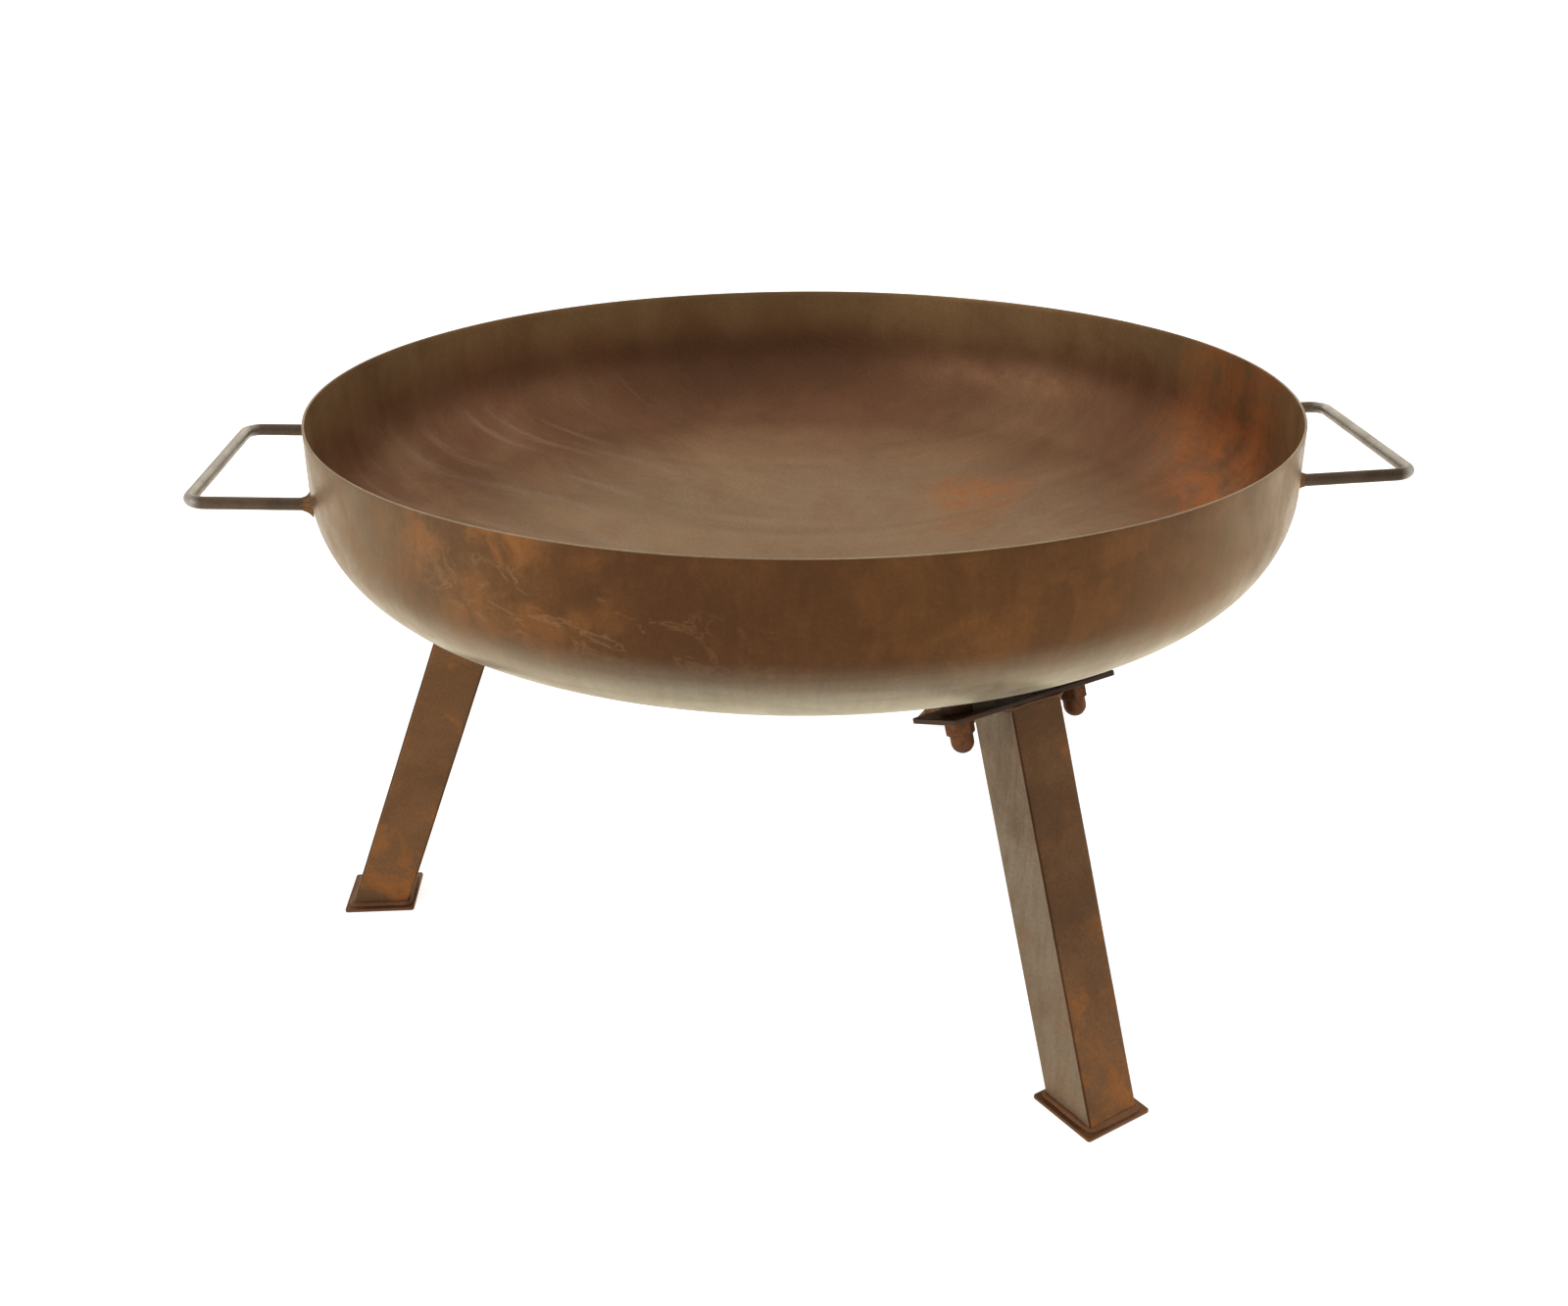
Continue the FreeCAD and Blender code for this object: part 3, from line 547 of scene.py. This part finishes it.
def slab(place, outline, low, high, edge):
    """A flat piece with rounded edges: outline(inset) gives the outline drawn in by a distance."""
    steps = 3
    rings = []
    for z0, sign in ((low, 1), (high, -1)):
        turn = []
        for step in range(steps + 1):
            angle = step / steps * math.pi / 2
            turn.append((edge * (1 - math.sin(angle)), z0 + sign * edge * (1 - math.cos(angle))))
        rings += turn if sign > 0 else list(reversed(turn))
    skins = []
    for draw_in, z in rings:
        skins.append([place @ Vector((px, py, z)) for px, py in outline(draw_in)])
    return loft(skins, closed=False)


# ---------------------------------------------------------------------------
# The bowl
# ---------------------------------------------------------------------------
def bowl_profile(offset, steps):
    """Radius and height along one skin of the bowl, from the axis to the lip."""
    line = []
    crown = CROWN - offset
    for k in range(steps):
        angle = -math.pi / 2 + (MEET + math.pi / 2) * k / steps
        line.append((crown * math.cos(angle), CROWN_CENTRE + crown * math.sin(angle)))
    knuckle = KNUCKLE - offset
    turns = steps // 2
    for k in range(turns):
        angle = MEET * (1 - k / turns)
        radius = RIM - KNUCKLE + knuckle * math.cos(angle)
        line.append((radius, COLLAR_FOOT + knuckle * math.sin(angle)))
    rises = steps // 4
    top = HEIGHT - LIP_ROUND
    for k in range(rises + 1):
        line.append((RIM - offset, COLLAR_FOOT + (top - COLLAR_FOOT) * k / rises))
    return line


def make_bowl():
    """The pressed bowl: both skins and a softly rounded sheared lip."""
    steps = 44
    outer = bowl_profile(0, steps)
    inner = bowl_profile(WALL, steps)
    lip = []
    edge = LIP_ROUND
    for k in range(1, 4):
        angle = k / 4 * math.pi / 2
        lip.append((RIM - edge + edge * math.cos(angle), HEIGHT - edge + edge * math.sin(angle)))
    lip.append((RIM - edge, HEIGHT))
    lip.append((RIM - WALL + edge, HEIGHT))
    for k in range(1, 4):
        angle = (1 + k / 4) * math.pi / 2
        lip.append((RIM - WALL + edge + edge * math.cos(angle), HEIGHT - edge + edge * math.sin(angle)))
    profile = outer[1:] + lip + list(reversed(inner[1:]))
    around = AROUND_BOWL
    points = []
    for radius, height in profile:
        for k in range(around):
            angle = TAU * k / around
            way = Vector((math.cos(angle), math.sin(angle), 0))
            dent = wobble((way.x * radius, way.y * radius, height), 5.0, 0.0005)
            ring = 0.0003 * math.sin(2 * angle + 0.7) * (radius / RIM)
            points.append(way * (radius + dent * 0.6 + ring) + Vector((0, 0, height + dent)))
    rows = len(profile)
    faces = []
    slots = []
    lip_end = len(outer) - 1 + len(lip)
    for row in range(rows - 1):
        for k in range(around):
            n = (k + 1) % around
            a, b = row * around, (row + 1) * around
            faces.append((a + k, a + n, b + n, b + k))
            slots.append(0 if row < len(outer) - 1 else (2 if row < lip_end else 1))
    bottom = len(points)
    points.append(Vector((0, 0, outer[0][1])))
    floor = len(points)
    points.append(Vector((0, 0, inner[0][1])))
    last = (rows - 1) * around
    for k in range(around):
        n = (k + 1) % around
        faces.append((k, bottom, n))
        slots.append(0)
        faces.append((last + k, last + n, floor))
        slots.append(1)
    # Paler, greyer colours on the lip: a painted highlight along the edge
    pale_sheen = (rgb(0.15, 0.105, 0.065), rgb(0.24, 0.18, 0.12), rgb(0.22, 0.11, 0.04))
    lip_shade = rust("rust_lip", *pale_sheen, 0.4, (0.36, 0.5))
    skins = [bowl_outside(), bowl_inside(), lip_shade]
    add_piece("bowl_sheet", points, faces, skins, slots, replaces=("bowl",))


# ---------------------------------------------------------------------------
# Handles and their welds
# ---------------------------------------------------------------------------
def handle_place(turn):
    """The frame of a handle: origin on the rim radius at rod height, X outwards and slightly up."""
    tilt = Matrix.Rotation(-HANDLE_TILT, 4, "Y")
    return radial(turn) @ Matrix.Translation((RIM, 0, HEIGHT - HANDLE_DROP)) @ tilt


def rod_path():
    """Centre line of the bent rod with its direction at each point."""
    half = HANDLE_WIDTH / 2
    start = math.sqrt(RIM ** 2 - half ** 2) - RIM - 0.0004
    bend = ROD_BEND
    line = []
    for k in range(17):
        t = k / 16
        line.append((start + (HANDLE_REACH - bend - start) * t, half, 0.0))
    for k in range(1, 10):
        angle = math.pi / 2 * k / 10
        px = HANDLE_REACH - bend + bend * math.sin(angle)
        py = half - bend + bend * math.cos(angle)
        line.append((px, py, angle))
    for k in range(29):
        t = k / 28
        line.append((HANDLE_REACH, half - bend - 2 * (half - bend) * t, math.pi / 2))
    for k in range(1, 10):
        angle = math.pi / 2 * k / 10
        px = HANDLE_REACH - bend + bend * math.cos(angle)
        py = -half + bend - bend * math.sin(angle)
        line.append((px, py, math.pi / 2 + angle))
    for k in range(17):
        t = k / 16
        line.append((HANDLE_REACH - bend + (start - HANDLE_REACH + bend) * t, -half, math.pi))
    return line


def make_handle(name, turn, shade):
    """One bent rod, a little flattened at its bends."""
    place = handle_place(turn)
    rings = []
    for px, py, heading in rod_path():
        side = Vector((math.sin(heading), math.cos(heading), 0))
        bent = 1 - abs(math.cos(2 * heading))
        ring = []
        for k in range(AROUND_ROD):
            angle = TAU * k / AROUND_ROD
            radius = ROD / 2 * (1 - 0.04 * bent * abs(math.cos(angle)))
            spot = Vector((px, py, 0)) + side * radius * math.cos(angle)
            spot += Vector((0, 0, radius * math.sin(angle)))
            radius_shift = wobble(spot + Vector((turn, 0, 0)), 60, 0.00012)
            spot += (side * math.cos(angle) + Vector((0, 0, math.sin(angle)))) * radius_shift
            ring.append(place @ spot)
        rings.append(ring)
    points, faces = loft(rings, closed=False)
    add_piece(name + "_rod", points, faces, [shade], hard=50, replaces=(name,))


def make_rod_weld(name, turn, sign, node, shade):
    """A rippled weld bead round one rod end, lying on the bowl."""
    place = handle_place(turn)
    half = HANDLE_WIDTH / 2 * sign
    size = ROD_WELD
    around = AROUND_WELD
    rings = []
    for k in range(around):
        angle = TAU * k / around
        out = Vector((0, math.cos(angle), math.sin(angle)))
        uneven = wobble((math.cos(angle), math.sin(angle), turn + sign), 2.0, 0.35)
        reach = size * (1 + 0.05 * math.sin(RIPPLES_ROUND_ROD * angle) + uneven)

        def on_bowl(radius):
            flat = place.inverted()
            spot = Vector((0, half, 0)) + out * radius
            world = radial(turn).inverted() @ place @ spot
            gone = math.sqrt(RIM ** 2 - world.y ** 2) - world.x
            spot.x += gone / math.cos(HANDLE_TILT)
            return spot

        low = on_bowl(ROD / 2 + reach) - Vector((0.0004, 0, 0))
        core = on_bowl(ROD / 2) - Vector((0.0008, 0, 0))
        high = on_bowl(ROD / 2 - 0.0002) + Vector((reach * 1.5, 0, 0))
        ring = []
        for step in range(9):
            t = step / 8
            bulge = -math.sin(math.pi * t) * reach * 0.24
            wave = RIPPLES_ROUND_ROD * angle + 2.2 * math.sin(math.pi * t)
            ripple = math.sin(wave) * RIPPLE * math.sin(math.pi * t)
            ring.append(low.lerp(high, t) + (out + Vector((1, 0, 0))).normalized() * (bulge + ripple))
        ring.append(core - out * 0.001)
        rings.append([place @ p for p in ring])
    points, faces = loft(rings)
    add_piece(node + "_bead", points, faces, [shade], replaces=(node,))


# ---------------------------------------------------------------------------
# Legs
# ---------------------------------------------------------------------------
def leg_run(px, down):
    """Distance below the leg top, along the leg, of a level cut through the foot at one side."""
    return (TOP_HEIGHT - down) / math.cos(LEAN) + px * math.tan(LEAN)


def make_tube(leg, turn, shade, fold):
    """The square tube with rolled corners, cut level at the foot."""
    place = leg_frame(turn)
    outline = rounded(TUBE, TUBE, TUBE_CORNER, 6, 8)
    rings = []
    rows = 44
    for row in range(rows + 1):
        t = row / rows
        ring = []
        for px, py in outline:
            z = -leg_run(px, FOOT_THICK) * t
            out = Vector((px, py, 0)).normalized()
            spot = Vector((px, py, z))
            spot += out * wobble(spot + Vector((0, 0, turn)), 16, 0.00022)
            ring.append(place @ spot)
        rings.append(list(reversed(ring)))
    points, faces = loft(rings, closed=False)
    count = len(outline)
    block = count // 4
    # Faces in the middle of each rolled corner take the second material: a painted dark shade line
    slots = [0] * len(faces)
    for index in range(rows * count):
        k = (count - 2 - index % count) % count
        slots[index] = 1 if k % block in (2, 3) else 0
    name = leg + "_tube"
    add_piece(name + "_skin", points, faces, [shade, fold], slots, 60, (name,))


def make_plate(leg, turn, shade):
    """The mounting plate, with slightly rounded cut edges."""
    place = leg_frame(turn)

    def outline(inset):
        return rounded(PLATE_WIDTH - 2 * inset, PLATE_LENGTH - 2 * inset, PLATE_CORNER, 5)

    points, faces = slab(place, outline, 0, PLATE_THICK, CUT_EDGE)
    name = leg + "_plate"
    add_piece(name + "_flat", points, faces, [shade], hard=40, replaces=(name,))


def make_foot(leg, turn, shade):
    """The square foot plate on the ground."""
    place = radial(turn) @ Matrix.Translation((FOOT_RADIUS, 0, 0))

    def outline(inset):
        return rounded(FOOT - 2 * inset, FOOT - 2 * inset, FOOT_CORNER, 5)

    points, faces = slab(place, outline, 0, FOOT_THICK, CUT_EDGE)
    name = leg + "_foot"
    add_piece(name + "_flat", points, faces, [shade], hard=40, replaces=(name,))


def bead_loop(place, outline, wall, size, seed):
    """A rippled fillet bead round an outline; wall(px, py, rise) is the point on the tube."""
    rings = []
    travel = 0.0
    count = len(outline)
    for k, (px, py) in enumerate(outline):
        ax, ay = outline[k - 1]
        bx, by = outline[(k + 1) % count]
        travel += math.hypot(px - ax, py - ay)
        along = Vector((bx - ax, by - ay, 0)).normalized()
        out = Vector((along.y, -along.x, 0))
        uneven = wobble((px * 60, py * 60, seed), 1.0, 0.35)
        reach = size * (1 + 0.08 * math.sin(travel * RIPPLES_PER_METRE) + uneven)
        low = wall(px, py, 0) + out * reach
        high = wall(px, py, reach)
        lift = (high - wall(px, py, 0)).normalized()
        ring = []
        for step in range(7):
            t = step / 6
            swell = math.sin(math.pi * t)
            ripple = math.sin(travel * RIPPLES_PER_METRE + 2.0 * swell) * RIPPLE * swell
            ring.append(low.lerp(high, t) + (out + lift).normalized() * (swell * reach * 0.14 + ripple))
        ring.append(wall(px, py, 0) - out * 0.0008 - lift * 0.0003)
        rings.append([place @ p for p in ring])
    return loft(rings)


def make_leg_welds(leg, turn, shade, foot_shade):
    """Beads round the tube: under the mounting plate and on the foot plate."""
    side = rounded(TUBE, TUBE, TUBE_CORNER, 6, 30)
    place = leg_frame(turn)

    def under_plate(px, py, rise):
        return Vector((px * 0.995, py * 0.995, -rise))

    points, faces = bead_loop(place, side, under_plate, TOP_WELD, turn)
    node = leg + "_top_weld"
    add_piece(node + "_bead", points, faces, [shade], replaces=(node,))
    foot = radial(turn) @ Matrix.Translation((FOOT_RADIUS, 0, FOOT_THICK))
    stretch = 1 / math.cos(LEAN)

    def on_foot(px, py, rise):
        return Vector((px * 0.995 - rise * math.tan(LEAN), py * 0.995, rise))

    wide = [(px * stretch, py) for px, py in side]
    points, faces = bead_loop(foot, wide, on_foot, FOOT_WELD, turn + 7)
    node = leg + "_foot_weld"
    add_piece(node + "_bead", points, faces, [foot_shade], replaces=(node,))


# ---------------------------------------------------------------------------
# Fasteners
# ---------------------------------------------------------------------------
def ring_rows(place, rows, around):
    """Circles at (radius, height) rows."""
    rings = []
    for radius, z in rows:
        ring = []
        for k in range(around):
            angle = TAU * k / around
            ring.append(place @ Vector((radius * math.cos(angle), radius * math.sin(angle), z)))
        rings.append(ring)
    return rings


def under_bowl(place, px, py):
    """Height over a leg frame at which a line up from (px, py) meets the outside of the bowl."""
    start = place @ Vector((px, py, 0)) - Vector((0, 0, CROWN_CENTRE))
    along = start.dot(place.to_3x3() @ Vector((0, 0, 1)))
    return -along - math.sqrt(along ** 2 - start.length_squared + CROWN ** 2)


def make_spacer(node, place, shade):
    """A turned ring between the plate and the bowl, its top following the bowl."""
    r = SPACER / 2
    low = PLATE_THICK
    bore = SPACER_BORE
    around = AROUND_SMALL
    rows = [(bore, low), (r - 0.0006, low), (r - 0.0002, low + 0.0002), (r, low + 0.0006)]
    rings = ring_rows(place, rows, around)
    for radius in (r, bore):
        ring = []
        for k in range(around):
            px, py = radius * math.cos(TAU * k / around), radius * math.sin(TAU * k / around)
            ring.append(place @ Vector((px, py, under_bowl(place, px, py) + 0.0005)))
        rings.append(ring)
    points, faces = loft(rings)
    add_piece(node + "_ring", points, faces, [shade], hard=40, replaces=(node,))


def make_washer(node, place, shade):
    """A stamped washer, softly rounded on one side."""
    r = WASHER / 2
    low = -WASHER_THICK
    rows = [
        (WASHER_BORE, 0), (r - 0.0003, 0), (r, -0.0003), (r, low + 0.0007),
        (r - 0.0003, low + 0.0002), (r - 0.0008, low), (WASHER_BORE, low),
    ]
    points, faces = loft(ring_rows(place, rows, AROUND_SMALL))
    add_piece(node + "_disc", points, faces, [shade], hard=50, replaces=(node,))


def make_nut(node, place, spin, shade):
    """A cap nut: chamfered hexagon and domed end."""
    flat = NUT_FLATS / 2
    dome = NUT_DOME / 2
    start = -WASHER_THICK
    slope = math.tan(math.radians(30))
    around = AROUND_NUT
    rings = []

    def hexagon(angle):
        part = (angle - spin) % (math.pi / 3) - math.pi / 6
        return min(flat / math.cos(part), flat * 1.135)

    def row(radius_of, depth_of):
        ring = []
        for k in range(around):
            angle = TAU * k / around
            radius = radius_of(angle)
            depth = depth_of(radius)
            spot = Vector((radius * math.cos(angle), radius * math.sin(angle), start - depth))
            ring.append(place @ spot)
        rings.append(ring)

    row(lambda a: 0.004, lambda r: 0.0)
    row(lambda a: flat * 0.985, lambda r: 0.0)
    row(hexagon, lambda r: 0.0002 + (r - flat) * slope)
    row(hexagon, lambda r: NUT_HEX - 0.0002 - (r - flat) * slope)
    row(lambda a: flat * 0.985, lambda r: NUT_HEX)
    row(lambda a: dome + 0.0003, lambda r: NUT_HEX + 0.0001)
    row(lambda a: dome, lambda r: NUT_HEX + 0.0005)
    for k in range(12):
        angle = k / 12 * math.pi / 2
        depth = NUT_HEIGHT - dome + dome * math.sin(angle)
        row(lambda a: dome * math.cos(angle), lambda r: depth)
    row(lambda a: 0.0003, lambda r: NUT_HEIGHT)
    points, faces = loft([list(reversed(ring)) for ring in rings], closed=False)
    add_piece(node + "_cap", points, faces, [shade], hard=35, replaces=(node,))


# ---------------------------------------------------------------------------
# Build everything
# ---------------------------------------------------------------------------
make_camera()
make_stage()
make_bowl()

# name: dark, middle and bright rust, share of the bright, roughness from and to, veil on top with
# painted light and shade
SHADES = {
    "rod": (rgb(0.046, 0.030, 0.019), rgb(0.088, 0.060, 0.040), ORANGE, 0.25, (0.30, 0.46), rod_veil),
    "tube": (rgb(0.074, 0.035, 0.015), rgb(0.128, 0.060, 0.025), ORANGE, 0.62, (0.36, 0.54), leg_veil),
    # Painted shade: a dark line along the rolled corners of the tubes
    "tube_corner_shade": (rgb(0.034, 0.013, 0.006), rgb(0.060, 0.024, 0.010), BROWN, 0.40, (0.45, 0.60), None),
    "foot": (rgb(0.084, 0.036, 0.018), rgb(0.150, 0.068, 0.032), ORANGE, 0.45, (0.42, 0.60), None),
    # Spacers near black: painted shade between the plate and the bowl
    "spacer": (rgb(0.030, 0.013, 0.007), rgb(0.060, 0.026, 0.012), ORANGE, 0.15, (0.45, 0.65), None),
    "plate": (rgb(0.034, 0.021, 0.016), rgb(0.066, 0.034, 0.022), ORANGE, 0.30, (0.45, 0.65), None),
    "weld": (rgb(0.070, 0.034, 0.016), rgb(0.150, 0.070, 0.028), ORANGE, 0.55, (0.40, 0.60), None),
    "bolt": (rgb(0.105, 0.038, 0.016), rgb(0.185, 0.068, 0.024), ORANGE, 0.70, (0.50, 0.75), bolt_veil),
}
steel = {}
for name, (dark, mid, bright, patch, rough, veil) in SHADES.items():
    steel[name] = rust("rust_" + name, dark, mid, bright, patch, rough, veil=veil)

for name, turn in HANDLE_TURNS.items():
    make_handle(name, turn, steel["rod"])
    make_rod_weld(name, turn, -1, name + "_weld_a", steel["weld"])
    make_rod_weld(name, turn, 1, name + "_weld_b", steel["weld"])

for leg, turn in LEG_TURNS.items():
    make_tube(leg, turn, steel["tube"], steel["tube_corner_shade"])
    make_plate(leg, turn, steel["plate"])
    make_foot(leg, turn, steel["foot"])
    make_leg_welds(leg, turn, steel["weld"], steel["foot"])
    for number, sign in ((1, -1), (2, 1)):
        place = leg_frame(turn) @ Matrix.Translation((0, sign * STUD_SPACING / 2, 0))
        make_spacer("%s_spacer_%d" % (leg, number), place, steel["spacer"])
        make_washer("%s_washer_%d" % (leg, number), place, steel["bolt"])
        make_nut("%s_nut_%d" % (leg, number), place, 0.4 * number + turn, steel["bolt"])
        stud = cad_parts["%s_stud_%d" % (leg, number)]
        stud.data.materials.clear()
        stud.data.materials.append(steel["bolt"])
